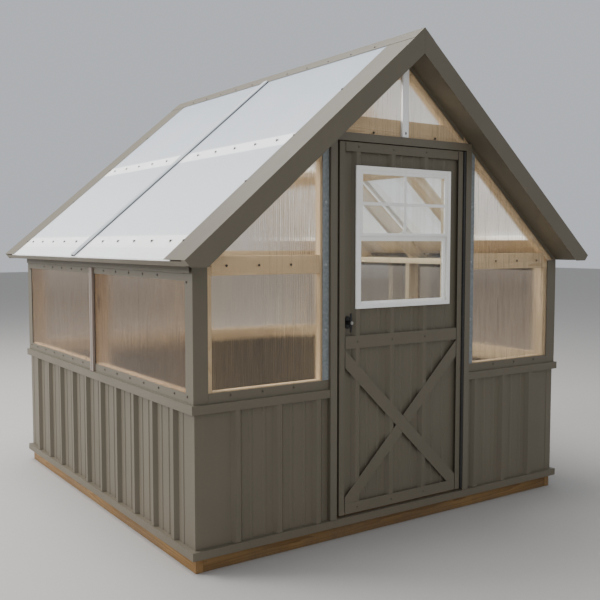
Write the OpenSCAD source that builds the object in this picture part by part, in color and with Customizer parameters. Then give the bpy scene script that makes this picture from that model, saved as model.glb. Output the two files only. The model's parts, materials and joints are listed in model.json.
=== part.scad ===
// Gable greenhouse: timber frame on treated base boards, ribbed steel below the
// sill, twin-wall glazing above it, and a steel-faced door with a sliding window.
// Millimetres. X runs across the door wall, Y runs back from it, Z is up. The
// origin is on the ground at the middle of the plan.

/* [Building] */
// Width over the framing, across the door wall
wall_w = 2438; // [2300:1:2600]
// Depth over the framing, front to back
wall_d = 2438; // [2300:1:2600]
// Height of the side top plates
plate_z = 1390; // [1340:1:1450]
// Pitch of the roof in degrees
roof_pitch = 40.5; // [38:0.5:42]
// How far the glazing passes the side walls
eave_out = 120; // [110:1:140]
// How far the roof passes the gable walls
rake_out = 160; // [130:1:220]

/* [Timber] */
// Thickness of every framing board
board_t = 38; // [35:1:40]
// Width of the framing boards
board_w = 89; // [85:1:92]
// Width of the purlins and the ridge board
wide_w = 140; // [120:1:145]
// Distance of the middle purlins from the side walls
mid_purlin_x = 555; // [450:1:650]
// Distance of the lowest purlins from the edge of the roof, along the slope
eave_purlin_s = 57; // [50:1:75]
// Distance of the highest purlins from the ridge, along the slope
ridge_purlin_s = 12; // [5:1:30]

/* [Steel cladding] */
// Thickness of the folded steel
steel_t = 1; // [0.8:0.1:1.2]
// Distance between the major ribs
rib_pitch = 228.6; // [200:0.1:240]
// Height of a major rib
rib_h = 19; // [14:0.5:20]
// Width of a major rib at its foot
rib_foot = 60; // [50:1:66]
// Width of a major rib at its top
rib_top = 24; // [18:1:30]
// Height of a minor rib
minor_h = 3; // [2:0.5:4]
// Distance from a corner to the first rib of the door wall
front_rib_x = 212; // [190:1:230]
// Height of the lip of the base trim
base_lip_z = 109; // [105:1:115]
// Drop of the face of the base trim
base_drop = 38; // [25:1:45]
// Height of the lip of the sill trim
sill_lip_z = 773; // [720:1:800]
// Drop of the face of the sill trim
sill_drop = 41; // [30:1:50]
// Width of the screw flange of the sill trim
sill_flange = 47; // [35:1:52]
// How far the base trim stands out from the framing
base_out = 26; // [24:1:30]
// How far the sill trim stands out from the framing
sill_out = 24; // [22:1:30]
// Leg of the corner trims beside the glazing
corner_leg = 64; // [50:1:80]
// Leg of the corner trims beside the ribbed panels
low_leg = 45; // [35:1:60]
// Depth of the face of the rake trims
rake_face = 95; // [93:1:110]
// Lap of the rake trims over the roof glazing
rake_lap = 52; // [40:1:80]
// Width of the flange that the rake soffits turn down on the gable glazing
rake_flange_w = 20; // [12:1:26]
// Spacing of the rafters along the ridge
rafter_gap = 610; // [560:1:660]
// Leg of the ridge cap on each slope
cap_leg = 86; // [70:1:110]

/* [Glazing] */
// Thickness of the glazing sheets
sheet_t = 8; // [6:0.5:8]
// Wall of the joining channels
chan_t = 1.5; // [1:0.1:2]
// Width of the joining channels
chan_w = 42; // [34:1:48]
// How far the hollow caps of the joining channels stand out from the sheets
cap_out = 14; // [8:0.5:16]

/* [Doorway] */
// Gap between the door and each jamb, which holds the hinge on one side
door_side_gap = 19; // [18:0.5:24]
// Width of the timber posts beside the doorway
door_post_w = 50; // [44:1:89]
// Height of the underside of the door head above the wall plates
head_rise = 610; // [570:1:620]
// How far the jambs stand out from the framing
jamb_out = 26; // [24:1:32]

/* [Door] */
// Width of the door
door_w = 846; // [810:1:850]
// Height of the bottom edge of the door
door_z0 = 121; // [115:1:130]
// Gap between the door and the head
door_top_gap = 4; // [3:0.5:10]
// How far the face of the door trims stands out from the framing
door_out = 18; // [16:1:20]
// Width of the door stile trims
stile_w = 34; // [28:1:40]
// Width of the middle rail and the brace strips
rail_w = 65; // [50:1:70]
// Height of the top rail
top_rail_h = 47; // [40:1:55]
// Height of the bottom rail
low_rail_h = 57; // [45:1:65]
// Height of the underside of the middle rail
mid_rail_z = 966; // [900:1:1000]
// Slope of the brace strips, as rise over run
brace_slope = 0.975; // [0.9:0.005:1]
// Distance from the latch edge of the door to its first rib
door_rib_x = 118; // [110:1:130]

/* [Window] */
// Overall width of the window
win_w = 650; // [600:1:660]
// Overall height of the window
win_h = 716; // [680:1:730]
// Gap between the top rail of the door and the window
win_drop = 67; // [55:1:80]
// How far the window stands out from the framing
win_out = 26; // [24:1:30]
// Width of the members of the window frame
frame_w = 20; // [16:1:24]
// Width of the sash stiles
sash_w = 22; // [18:1:28]
// Thickness of one sash
sash_t = 11; // [9:0.5:12]
// Height of the lower edge of the upper sash
meet_z = 1531; // [1500:1:1550]
// Height of the bottom rail of the upper sash
up_foot = 16; // [12:1:24]
// Height of the top rail of the upper sash
up_head = 20; // [14:1:26]
// Height of the top rail of the lower sash
low_head = 40; // [30:1:48]
// Height of the bottom rail of the lower sash
low_foot = 14; // [10:1:22]
// Thickness of the window glass
glass_t = 4; // [3:0.5:5]
// Width of the glazing bars
bar_w = 17; // [12:1:22]

/* [Door hardware] */
// Thickness of the hinge leaves
leaf_t = 1.7; // [1.4:0.1:2]
// Radius of the hinge pin
pin_r = 3; // [2.5:0.1:4]
// Number of hinge knuckles
knuckles = 31; // [15:2:41]
// Height of the handle spindle
handle_z = 1098; // [1080:1:1105]
// Distance from the latch edge of the door to the spindle
handle_in = 64; // [55:1:66]
// Length of the T handle
handle_len = 98; // [80:1:110]
// Radius of the spindle
spindle_r = 4; // [3.5:0.1:5]

/* [Clearances] */
// Gap between framing boards and folded steel laid beside them
fit = 0.5; // [0.3:0.1:1]
// Radial clearance of a turning shaft
run_fit = 0.05; // [0.02:0.01:0.1]
// Gap round a sliding sash
slide_fit = 1; // [0.5:0.1:2]
// Gap left between sloping timbers and steel
lay = 0.1; // [0.05:0.01:0.2]

/* [Hidden] */
$fn = 48;

// Roof geometry, worked from the seat of the rafters on the side plates
half_w = wall_w / 2;
half_d = wall_d / 2;
seat_w = 52;
sheet_gap = chan_t + lay;
roof_t0 = 0.5;
deck_t = roof_t0 + sheet_t + chan_t + 2 * lay;
rafter_t0 = deck_t + board_t + lay;
rafter_t1 = rafter_t0 + board_w;
seat_x = half_w - seat_w;
ridge_z = plate_z + rafter_t1 / cos(roof_pitch) + seat_x * tan(roof_pitch);
slope_len = (half_w + eave_out) / cos(roof_pitch);
soffit_z = plate_z + 7;
soffit_t = board_w + steel_t;
fly_y0 = half_d + rake_out - 2 * steel_t;
fly_y1 = fly_y0 - board_t;

// Wall layers, measured outwards from the framing
sheet_in = sheet_gap;
sheet_face = sheet_gap + sheet_t;
flange_in = sheet_face + 0.5;
panel_in = steel_t + 0.2;

// Doorway and door
door_head_z = plate_z + head_rise;
door_x0 = -door_w / 2;
door_x1 = door_w / 2;
door_z1 = door_head_z - door_top_gap;
gap_x = door_x1 + door_side_gap;
jamb_x = gap_x + steel_t;
jamb_out_x = jamb_x + board_t + steel_t;
post_x0 = jamb_x + board_t;
post_x1 = post_x0 + door_post_w;
skin_out = door_out - 2 * steel_t - rib_h - lay;
core_y = -skin_out + lay;
door_back = core_y + board_t;
jamb_back = door_back + 24;
stop_w = 35;
hinge_x = (door_x1 + gap_x) / 2;
knuckle_r = door_side_gap / 2 - leaf_t;
leaf_gap = 0.2;
hinge_out = door_out + 2;
handle_x = door_x0 + handle_in;

// Window
win_x = win_w / 2;
win_z1 = door_z1 - top_rail_h - win_drop;
win_z0 = win_z1 - win_h;
sash_x = win_x - frame_w - slide_fit;
sash_out = win_out - 2;
lower_out = sash_out - sash_t - slide_fit;
cut_x = win_x - 12;
up_z0 = meet_z;
up_z1 = win_z1 - frame_w - fit;
low_z0 = win_z0 + frame_w + fit;
low_z1 = up_z0 + up_foot;

// A point on the left slope: s along the slope from the ridge, t down into the roof
function rp(s, t) = [
    -s * cos(roof_pitch) + t * sin(roof_pitch),
    ridge_z - s * sin(roof_pitch) - t * cos(roof_pitch)
];
// Height of the layer t below the roof surface, over the place x
function roof_z(x, t) = ridge_z - abs(x) * tan(roof_pitch) - t / cos(roof_pitch);
// Half length and distance from the middle of each wall
function half_len(side) = (side == "front" || side == "back") ? half_w : half_d;
function wall_far(side) = (side == "front" || side == "back") ? half_d : half_w;
function wall_turn(side) = side == "front" ? 0 : side == "right" ? 90 : side == "back" ? 180 : -90;

// Outline of a bent strip: the path is its inner face, and the strip lies to its left
function unit(v) = v / norm(v);
function left_of(v) = [-v[1], v[0]];
function miter(a, b) = (a + b) / (1 + a * b);
function side_at(p, i) = let (
        n = len(p),
        a = left_of(unit(p[max(i, 1)] - p[max(i, 1) - 1])),
        b = left_of(unit(p[min(i, n - 2) + 1] - p[min(i, n - 2)]))
    ) i == 0 ? b : i == n - 1 ? a : miter(a, b);
function moved(p, t) = [for (i = [0 : len(p) - 1]) p[i] + t * side_at(p, i)];
function back_to_front(p) = [for (i = [len(p) - 1 : -1 : 0]) p[i]];
module bent(path, t = steel_t) {
    polygon(concat(path, back_to_front(moved(path, t))));
}

// Both halves of what is the same left and right, or front and back
module both_sides() {
    children();
    mirror([1, 0, 0]) children();
}
module both_ends() {
    children();
    mirror([0, 1, 0]) children();
}
// Stand on a wall: x along it, -y outwards, z up
module on_wall(side) {
    rotate([0, 0, wall_turn(side)])
        translate([0, -wall_far(side), 0])
            children();
}
// Box between two corners
module box(a, b) {
    translate(a) cube(b - a);
}
// Outline drawn in x and z, made solid from y0 to y1
module slab_xz(y0, y1) {
    translate([0, y1, 0]) rotate([90, 0, 0]) linear_extrude(y1 - y0) children();
}
// Section drawn outwards and up, run along a wall from x0 to x1
module along_wall(x0, x1) {
    translate([x0, 0, 0])
        rotate([90, 0, 90])
            linear_extrude(x1 - x0)
                mirror([1, 0])
                    children();
}
// Space over a wall run whose ends are cut at 45 degrees for the corners
module mitred(half, reach, z0, z1) {
    translate([0, 0, z0])
        linear_extrude(z1 - z0)
            polygon([
                [-half + fit, 0.2], [half - fit, 0.2],
                [half + reach - fit, -reach], [-half - reach + fit, -reach]
            ]);
}
// The layer of the roof between t0 and t1, as an outline over both slopes
module roof_layer(t0, t1) {
    far = half_w + eave_out + 60;
    polygon([
        [-far, roof_z(far, t0)], [0, roof_z(0, t0)], [far, roof_z(far, t0)],
        [far, roof_z(far, t1)], [0, roof_z(0, t1)], [-far, roof_z(far, t1)]
    ]);
}
// Everything under the layer t of the roof, down to z0, between x0 and x1
module under_roof(x0, x1, z0, t) {
    intersection() {
        translate([x0, z0]) square([x1 - x0, ridge_z - z0]);
        polygon([
            [-half_w - eave_out, 0], [-half_w - eave_out, roof_z(half_w + eave_out, t)],
            [0, roof_z(0, t)],
            [half_w + eave_out, roof_z(half_w + eave_out, t)], [half_w + eave_out, 0]
        ]);
    }
}
// What stays above the level soffit on the left slope
module above_soffit(z = soffit_z + 1) {
    translate([-half_w - eave_out - 20, z]) square([half_w + eave_out + 20 - 0.3, ridge_z - z + 20]);
}

// Colours of the finishes
treated = [0.62, 0.50, 0.33];
pine = [0.80, 0.68, 0.50];
bronze = [0.42, 0.39, 0.34];
opal = [0.86, 0.88, 0.88, 0.7];
white = [0.93, 0.93, 0.91];
glass = [0.75, 0.82, 0.82, 0.4];
black = [0.07, 0.07, 0.07];

// Treated base boards on the ground: the side boards run through, the others fit between
module base_board_side() {
    box([-half_w, -half_d, 0], [-half_w + board_t, half_d, board_w]);
}
module base_board_end() {
    box([-half_w + board_t, -half_d + 3, 0], [half_w - board_t, -half_d + 3 + board_t, board_w]);
}
module base_boards_sides() { color(treated) both_sides() base_board_side(); }
module base_boards_ends() { color(treated) both_ends() base_board_end(); }

// Plates laid flat on the base boards, left out across the doorway
plate_top = board_w + board_t;
module bottom_plates() {
    color(pine) {
        both_sides() {
            box([-half_w, -half_d, board_w], [-half_w + board_w, half_d, plate_top]);
            box([-half_w + board_w + fit, -half_d, board_w], [-post_x0, -half_d + board_w, plate_top]);
        }
        box([-half_w + board_w + fit, half_d - board_w, board_w],
            [half_w - board_w - fit, half_d, plate_top]);
    }
}
// Corner posts, flat in the gable walls
module corner_posts() {
    color(pine)
        both_ends() both_sides()
            box([-half_w, -half_d, plate_top], [-half_w + board_w, -half_d + board_t, plate_z - board_t]);
}
// Side studs: one behind each corner post, and one behind each side joint
module side_studs() {
    color(pine)
        both_sides() {
            both_ends()
                box([-half_w, -half_d + board_t + fit, plate_top],
                    [-half_w + board_w, -half_d + 2 * board_t + fit, plate_z - board_t]);
            box([-half_w, -board_t / 2, plate_top], [-half_w + board_w, board_t / 2, plate_z - board_t]);
        }
}
// Rails behind the sill trim
rail_z1 = sill_lip_z + sill_flange + 4;
module sill_rails() {
    color(pine) {
        both_sides() {
            both_ends()
                box([-half_w, -half_d + 2 * board_t + 2 * fit, rail_z1 - board_w],
                    [-half_w + board_t, -board_t / 2 - fit, rail_z1]);
            box([-half_w + board_w + fit, -half_d, rail_z1 - board_w],
                [-post_x1 - fit, -half_d + board_t, rail_z1]);
            box([-half_w + board_w + fit, half_d - board_t, rail_z1 - board_w],
                [-board_w / 2 - fit, half_d, rail_z1]);
        }
    }
}
// Top plates of the side walls
module top_plates() {
    color(pine)
        both_sides()
            box([-half_w, -half_d, plate_z - board_t], [-half_w + board_w, half_d, plate_z]);
}

// Girts across the gable walls at plate height, cut to the rafters where they meet
girt_z = plate_z - 41;
module girt(x0, x1, z0, h) {
    slab_xz(-half_d, -half_d + board_t)
        intersection() {
            translate([x0, z0]) square([x1 - x0, h]);
            under_roof(x0, x1, z0, rafter_t1 + fit);
        }
}
module front_girts() {
    color(pine) both_sides() girt(-half_w + board_w + fit, -post_x1 - fit, girt_z, board_w);
}
module back_girts() {
    color(pine)
        mirror([0, 1, 0])
            both_sides() girt(-half_w + board_w + fit, -board_w / 2 - fit, girt_z, board_w);
}
// Flat stud up the middle of the back wall, to the ridge board
module back_stud() {
    color(pine)
        mirror([0, 1, 0])
            slab_xz(-half_d, -half_d + board_t)
                intersection() {
                    under_roof(-board_w / 2, board_w / 2, plate_top, rafter_t1 + fit);
                    translate([-board_w / 2, plate_top])
                        square([board_w, roof_z(0, rafter_t0) - wide_w - board_t - plate_top]);
                }
}
// Flat door posts, cut to the gable rafters
module door_post() {
    slab_xz(-half_d, -half_d + board_t)
        under_roof(-post_x1, -post_x0 - fit, plate_top, rafter_t1 + fit);
}
module door_posts() { color(pine) both_sides() door_post(); }
// Header over the doorway, cut between the gable rafters
head_z1 = door_head_z + steel_t + board_t;
header_z1 = head_z1 + fit + board_w;
module door_header() {
    color(pine)
        slab_xz(-half_d, -half_d + board_t)
            intersection() {
                under_roof(-post_x1, post_x1, head_z1 + fit, rafter_t1 + fit);
                translate([-post_x1, head_z1]) square([2 * post_x1, header_z1 - head_z1]);
            }
}

// A rafter: level tail over the soffit, seat on the side plate, plumb cut at the ridge
ridge_x = board_t / 2;
module rafter_outline() {
    difference() {
        intersection() {
            polygon([
                rp(0, rafter_t0), rp(slope_len, rafter_t0),
                rp(slope_len, rafter_t1), rp(0, rafter_t1)
            ]);
            above_soffit(plate_z);
            translate([-half_w - eave_out, plate_z])
                square([half_w + eave_out - ridge_x, ridge_z]);
        }
        translate([-half_w - eave_out, 0]) square([eave_out, soffit_z + 1]);
    }
}
module rafter_pair(y0) {
    both_sides() slab_xz(y0, y0 + board_t) rafter_outline();
}
module gable_rafters() { color(pine) both_ends() rafter_pair(-half_d); }
module middle_rafters() {
    color(pine)
        for (y = [-rafter_gap, 0, rafter_gap])
            rafter_pair(y - board_t / 2);
}
// Ridge board between the rafters
ridge_top = roof_z(ridge_x, rafter_t0);
module ridge_board() {
    color(pine)
        box([-ridge_x + 0.1, -half_d, ridge_top - wide_w], [ridge_x - 0.1, half_d, ridge_top]);
}
// Purlins on the rafters: at the eave, half way up, and a mitred pair at the ridge
eave_purlin = slope_len - eave_purlin_s;
mid_purlin = (half_w - mid_purlin_x) / cos(roof_pitch) + wide_w / 2;
ridge_purlin = ridge_purlin_s + board_w;
module purlin_outline(s, w) {
    intersection() {
        polygon([
            rp(s - w, deck_t), rp(s, deck_t), rp(s, rafter_t0 - lay), rp(s - w, rafter_t0 - lay)
        ]);
        above_soffit();
    }
}
module purlins() {
    color(pine)
        both_sides()
            slab_xz(-fly_y1, fly_y1) {
                purlin_outline(eave_purlin, wide_w);
                purlin_outline(mid_purlin, wide_w);
                purlin_outline(ridge_purlin, wide_w);
            }
}
// Fly rafters on the purlin ends, with a square tip and a level cut at the eave
module fly_rafters() {
    color(pine)
        both_ends() both_sides()
            slab_xz(-fly_y0, -fly_y1)
                intersection() {
                    polygon([
                        rp(-90, 0.2), rp(slope_len - 6, 0.2),
                        rp(slope_len - 6, board_w), rp(-90, board_w)
                    ]);
                    above_soffit();
                }
}

// Door jambs and head, set on edge round the doorway and notched round the gable rafters
module jamb_boards() {
    difference() {
        union() {
            both_sides()
                box([-post_x0, -jamb_out + steel_t, board_w], [-jamb_x, jamb_back, door_head_z]);
            box([-jamb_x - board_t, -jamb_out + steel_t, door_head_z + steel_t],
                [jamb_x + board_t, jamb_back, head_z1]);
        }
        box([-post_x0 - 1, -jamb_out, 0], [post_x0 + 1, lay, base_lip_z + steel_t + lay]);
        slab_xz(-fit, board_t + fit) roof_layer(rafter_t0 - fit, rafter_t1 + fit);
        slab_xz(-jamb_out, jamb_back + 1) roof_layer(0, soffit_t + 2);
    }
}
module door_jambs() { color(pine) translate([0, -half_d, 0]) jamb_boards(); }
// Stops behind the door, and the black seal on them
module stop_ring(y0, y1, out, w) {
    both_sides() box([-out, y0, door_z0], [-out + w, y1, door_head_z - stop_w]);
    box([-out, y0, door_head_z - stop_w + fit], [out, y1, door_head_z - fit]);
}
module door_stops() {
    color(pine)
        translate([0, -half_d, 0])
            stop_ring(door_back + 2, jamb_back - 2, jamb_x, stop_w);
}
module door_seal() {
    color(black)
        translate([0, -half_d, 0])
            stop_ring(door_back + 0.4, door_back + 2, gap_x - fit, stop_w - 6);
}
// Threshold board across the doorway
module door_threshold() {
    color(treated)
        box([-jamb_x, -half_d, board_w], [jamb_x, -half_d + board_w, base_lip_z + steel_t]);
}

// Base trim: a flange behind the panels, a lip, and a face over the base board
module base_section() {
    bent([
        [0, base_lip_z + 40], [0, base_lip_z], [base_out - steel_t, base_lip_z - 1.5],
        [base_out - steel_t, base_lip_z - base_drop], [base_out - 8, base_lip_z - base_drop]
    ]);
}
module base_trims() {
    color(bronze)
        for (side = ["front", "right", "back", "left"])
            on_wall(side)
                difference() {
                    intersection() {
                        along_wall(-half_len(side) - 40, half_len(side) + 40) base_section();
                        mitred(half_len(side), 40, 0, base_lip_z + 60);
                    }
                    if (side == "front")
                        box([-jamb_out_x, -2 * steel_t, base_lip_z + steel_t + 0.1],
                            [jamb_out_x, 1, base_lip_z + 60]);
                }
}

// Outline of a ribbed sheet seen from above, from x0 to x1 with ribs at the centres c
function minor(c) = [for (m = [-1, 1]) c + rib_pitch / 2 + m * rib_pitch / 6];
function rib_path(x0, x1, c) = concat(
    [[x0, 0]],
    [for (r = c) each [
        [r - rib_foot / 2, 0], [r - rib_top / 2, rib_h],
        [r + rib_top / 2, rib_h], [r + rib_foot / 2, 0],
        for (m = minor(r)) if (m + 12 < x1 - low_leg) each [
            [m - 11, 0], [m - 6, minor_h], [m + 6, minor_h], [m + 11, 0]
        ]
    ]],
    [[x1, 0]]
);
module ribbed(x0, x1, c) {
    mirror([0, 1]) bent(rib_path(x0, x1, c));
}
panel_z0 = base_lip_z + steel_t + 0.3;
panel_z1 = sill_lip_z - 10;
function centred_ribs(half) = let (n = floor((half - rib_foot / 2 - 12) / rib_pitch + 0.5))
    [for (i = [-n : n - 1]) (i + 0.5) * rib_pitch];
module low_panel(side) {
    on_wall(side)
        translate([0, -panel_in, panel_z0])
            linear_extrude(panel_z1 - panel_z0)
                ribbed(-half_len(side), half_len(side), centred_ribs(half_len(side)));
}
module low_panel_left() { color(bronze) low_panel("left"); }
module low_panel_right() { color(bronze) low_panel("right"); }
module low_panel_back() { color(bronze) low_panel("back"); }
module low_panels_front() {
    first = -half_w + front_rib_x;
    last = -jamb_out_x - rib_foot / 2 - 6;
    color(bronze)
        on_wall("front")
            both_sides()
                translate([0, -panel_in, panel_z0])
                    linear_extrude(panel_z1 - panel_z0)
                        ribbed(-half_w, -jamb_out_x - fit, [for (x = [first : rib_pitch : last]) x]);
}
// Corner trims: equal legs, seen from above
module corner_section(leg, out) {
    bent([[leg, -out], [-out, -out], [-out, leg]], steel_t);
}
module corner_trims(leg, out, z0, z1) {
    both_ends() both_sides()
        translate([-half_w, -half_d, z0])
            linear_extrude(z1 - z0)
                corner_section(leg, out);
}
module low_corner_trims() {
    color(bronze) corner_trims(low_leg, panel_in + steel_t + 0.2, panel_z0, panel_z1);
}
module high_corner_trims() {
    color(bronze) corner_trims(corner_leg, flange_in, sill_lip_z + 4, soffit_z - 3);
}
// Sill trim: screw flange on the glazing, lip, and a face over the tops of the ribs
module sill_section() {
    bent([
        [flange_in, sill_lip_z + sill_flange], [flange_in, sill_lip_z + 1],
        [sill_out - steel_t, sill_lip_z - 1], [sill_out - steel_t, sill_lip_z - sill_drop]
    ]);
}
module sill_run(side, x0, x1) {
    difference() {
        intersection() {
            along_wall(x0, x1) sill_section();
            mitred(half_len(side), 40, sill_lip_z - 60, sill_lip_z + 60);
        }
        box([-chan_w / 2 - fit, -flange_in - 2 * steel_t, cap_z0 - 0.2],
            [chan_w / 2 + fit, 1, sill_lip_z + 60]);
        both_sides()
            box([-half_len(side) - 20, -flange_in - 2 * steel_t, sill_lip_z + 3.5],
                [-half_len(side) + corner_leg + fit, 1, sill_lip_z + 60]);
    }
}
module sill_trims() {
    color(bronze) {
        for (side = ["right", "back", "left"])
            on_wall(side) sill_run(side, -half_len(side) - 40, half_len(side) + 40);
        on_wall("front")
            both_sides() sill_run("front", -half_w - 40, -jamb_out_x - fit);
    }
}

// Glazing of the side walls: two sheets with a joining channel between them
glaze_z0 = sill_lip_z + 3;
glaze_z1 = plate_z - 6;
web = chan_t / 2 + 0.5;
module side_sheets() {
    color(opal)
        both_sides() both_ends()
            box([-half_w - sheet_face, -half_d, glaze_z0], [-half_w - sheet_in, -web, glaze_z1]);
}
// Glazing of the gable walls, cut to the slope above the soffit
gable_t = rafter_t0 + 2;
module back_sheets() {
    color(opal)
        on_wall("back")
            both_sides()
                slab_xz(-sheet_face, -sheet_in)
                    under_roof(-half_w, -web, glaze_z0, gable_t);
}
module front_sheets() {
    color(opal)
        on_wall("front")
            both_sides()
                slab_xz(-sheet_face, -sheet_in)
                    under_roof(-half_w, -jamb_out_x - 2, glaze_z0, gable_t);
}
module gable_sheets() {
    color(opal)
        on_wall("front")
            both_sides()
                slab_xz(-sheet_face, -sheet_in)
                    under_roof(-jamb_out_x - 1, -web, head_z1 + 3, gable_t);
}
// Roof glazing: two sheets on each slope
sheet_s0 = 22;
module roof_sheets() {
    both_ends()
        slab_xz(-half_d, -web)
            polygon([
                rp(sheet_s0, roof_t0), rp(slope_len - 1, roof_t0),
                rp(slope_len - 1, roof_t0 + sheet_t), rp(sheet_s0, roof_t0 + sheet_t)
            ]);
}
module roof_sheets_left() { color(opal) roof_sheets(); }
module roof_sheets_right() { color(opal) mirror([1, 0, 0]) roof_sheets(); }
// Joining channels: a leaf and web behind the sheets, and a hollow grooved cap outside them
cap_z0 = sill_lip_z + steel_t + 1.2;
module h_core() {
    translate([-chan_w / 2, 0]) square([chan_w, chan_t]);
    translate([-chan_t / 2, 0]) square([chan_t, sheet_face]);
}
module h_flat() {
    translate([-chan_t / 2, 1]) square([chan_t, sheet_face]);
    translate([-chan_w / 2, sheet_face + lay]) square([chan_w, chan_t]);
}
module cap_outline(inset) {
    x = chan_w / 2 - inset;
    y = cap_out - inset;
    polygon([
        [-x, inset], [-x, y - 3], [-x + 3, y], [-5 - inset, y], [-4 - inset, y - 2], [4 + inset, y - 2],
        [5 + inset, y], [x - 3, y], [x, y - 3], [x, inset]
    ]);
}
module h_cap() {
    translate([-chan_t / 2, 1]) square([chan_t, sheet_face]);
    translate([0, sheet_face + lay])
        difference() {
            cap_outline(0);
            cap_outline(chan_t);
        }
}
module h_wall(z0, z1) {
    translate([0, 0, z0]) linear_extrude(z1 - z0) mirror([0, 1]) children();
}
module h_gable(z0, z1) {
    h_under(z0, z1, rafter_t0 + 2) h_core();
    h_under(z1, z1, soffit_t + rake_flange_w + 1) h_cap();
}
module h_under(z0, z1, t) {
    intersection() {
        h_wall(z0, ridge_z) children();
        slab_xz(-60, 10) under_roof(-chan_w, chan_w, z0, t);
    }
}
module wall_channels() {
    color(white) {
        for (side = ["left", "right"])
            on_wall(side) {
                h_wall(glaze_z0, glaze_z1) h_core();
                h_wall(cap_z0, frieze_z - 3.2) h_cap();
            }
        on_wall("front") h_gable(head_z1 + 3, head_z1 + 3);
        on_wall("back") h_gable(glaze_z0, cap_z0);
    }
}
module roof_run(s0) {
    rotate([90, 0, 90])
        linear_extrude(slope_len - s0 - 1)
            children();
}
module roof_channels() {
    color(white)
        both_sides()
            translate([0, 0, ridge_z])
                rotate([0, -roof_pitch, 0])
                    translate([-slope_len + 1, 0, lay - deck_t]) {
                        roof_run(sheet_s0) {
                            h_core();
                            h_flat();
                        }
                        roof_run(cap_leg + 3) h_cap();
                    }
}

// Rake trims: a flange on the glazing and a deep face, mitred at the peak
module rake_flange() {
    slab_xz(-half_d - rake_out, -half_d + rake_lap)
        intersection() {
            polygon([rp(-5, -steel_t), rp(slope_len, -steel_t), rp(slope_len, 0), rp(-5, 0)]);
            above_soffit();
        }
}
module rake_front(y0) {
    slab_xz(y0, y0 + steel_t)
        intersection() {
            polygon([
                rp(0, -steel_t), rp(slope_len, -steel_t),
                rp(slope_len, rake_face), rp(-2 * rake_face, rake_face)
            ]);
            translate([-half_w - eave_out - 20, soffit_z - 4])
                square([half_w + eave_out + 20, ridge_z]);
        }
}
// Tab folded over the foot of the fly rafter
module rake_foot() {
    slab_xz(-half_d - rake_out, -fly_y1)
        intersection() {
            polygon([
                rp(slope_len - steel_t, -steel_t), rp(slope_len, -steel_t),
                rp(slope_len, rake_face), rp(slope_len - steel_t, rake_face)
            ]);
            above_soffit();
        }
}
module rake_trims() {
    color(bronze)
        both_ends() both_sides() {
            translate([-0.3, 0, 0]) {
                rake_flange();
                rake_front(-half_d - rake_out);
            }
            rake_foot();
        }
}
// Soffit under each rake, with a flange turned down on the gable glazing
module rake_soffit(front) {
    slab_xz(-fly_y0, -half_d - flange_in)
        intersection() {
            polygon([
                rp(-90, soffit_t - steel_t + 0.2), rp(slope_len, soffit_t - steel_t + 0.2),
                rp(slope_len, soffit_t), rp(-90, soffit_t)
            ]);
            above_soffit(soffit_z);
        }
    slab_xz(-half_d - flange_in - steel_t, -half_d - flange_in)
        difference() {
            intersection() {
                polygon([
                    rp(-90, soffit_t - steel_t + 0.2), rp(slope_len, soffit_t - steel_t + 0.2),
                    rp(slope_len, soffit_t + rake_flange_w), rp(-90, soffit_t + rake_flange_w)
                ]);
                above_soffit(soffit_z);
            }
            if (front)
                intersection() {
                    translate([-jamb_out_x - 1, 0]) square([jamb_out_x - jamb_x + 12, ridge_z]);
                    under_roof(-half_w, half_w, 0, soffit_t + 2);
                }
        }
}
module rake_soffits() {
    color(bronze)
        both_sides() {
            rake_soffit(true);
            mirror([0, 1, 0]) rake_soffit(false);
        }
}
// Ridge cap: one bent strip from end to end
module ridge_cap() {
    over = -chan_t - 0.2;
    left_foot = rp(cap_leg, over);
    top = [0, ridge_z - over / cos(roof_pitch)];
    color(bronze)
        slab_xz(-half_d - rake_out, half_d + rake_out)
            bent([[-left_foot[0], left_foot[1]], top, left_foot], -steel_t);
}
// Eave trim: leg on the purlin, drip face, level soffit, frieze and screw flange
trim_t = 0.8 * steel_t;
eave_leg = 110;
drip_t = (ridge_z - slope_len * sin(roof_pitch) - soffit_z + steel_t) / cos(roof_pitch);
frieze_out = 21;
frieze_z = soffit_z - 34;
frieze_leg = 36;
module eave_drip() {
    leg_t = deck_t - trim_t - lay;
    difference() {
        slab_xz(-fly_y1 + lay, fly_y1 - lay)
            bent([
                rp(slope_len - eave_leg, leg_t), rp(slope_len, leg_t), rp(slope_len, drip_t),
                [-half_w - frieze_out, soffit_z - steel_t], [-half_w - frieze_out, frieze_z]
            ], trim_t);
        slab_xz(-chan_w / 2 - fit, chan_w / 2 + fit)
            polygon([
                rp(slope_len - eave_leg - 5, 0), rp(slope_len - trim_t, 0),
                rp(slope_len - trim_t, deck_t + lay), rp(slope_len - eave_leg - 5, deck_t + lay)
            ]);
        both_ends()
            box([-half_w - frieze_out - 1, -fly_y1 - 1, frieze_z - 1],
                [-half_w - frieze_out + 5, -half_d, soffit_z - steel_t]);
    }
}
module frieze() {
    bent([
        [-half_w - frieze_out, frieze_z - lay], [-half_w - flange_in, frieze_z - 2],
        [-half_w - flange_in, frieze_z - frieze_leg]
    ], -trim_t);
}
module eave_trims() {
    color(bronze)
        both_sides() {
            eave_drip();
            difference() {
                slab_xz(-half_d + corner_leg + fit, half_d - corner_leg - fit) frieze();
                box([-half_w - flange_in - 2, -chan_w / 2 - fit, frieze_z - frieze_leg - 5],
                    [-half_w, chan_w / 2 + fit, frieze_z - 3]);
            }
        }
}
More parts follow.
